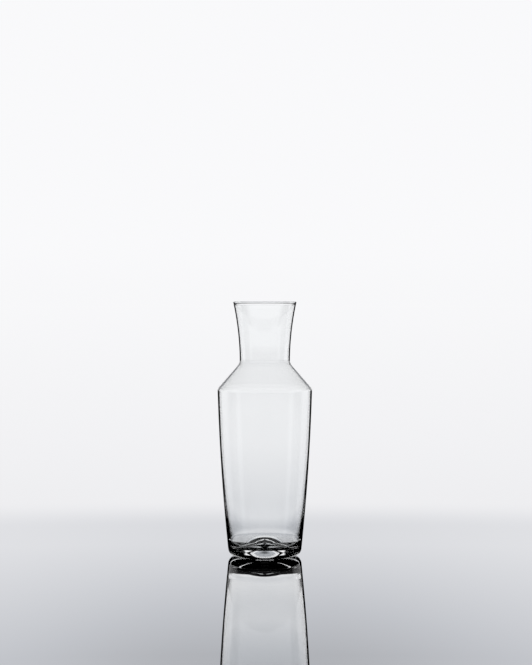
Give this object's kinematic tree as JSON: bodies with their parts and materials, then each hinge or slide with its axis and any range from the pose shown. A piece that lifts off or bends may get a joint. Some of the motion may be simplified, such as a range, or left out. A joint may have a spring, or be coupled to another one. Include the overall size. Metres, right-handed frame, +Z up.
{
  "type": "wine carafe",
  "caption": "Clear blown-glass wine carafe with a heavy domed base, tapering body, conical shoulder, flaring neck and fire-polished rim, for serving wine or water at the table.",
  "frame": {"origin": "centre of the foot ring, on the surface the carafe stands on", "axes": "+Z up along the carafe's axis, from the foot ring to the mouth; the carafe is round, so +X and +Y are free and -Y faces the camera of the picture"},
  "size_m": [0.0704, 0.0704, 0.19],
  "materials": {
    "clear_glass": "clear fire-polished blown glass, nearly colourless"
  },
  "bodies": {
    "root": {"base": "clear_glass", "body_wall": "clear_glass", "shoulder": "clear_glass", "neck": "clear_glass", "rim": "clear_glass"}
  },
  "joints": []
}
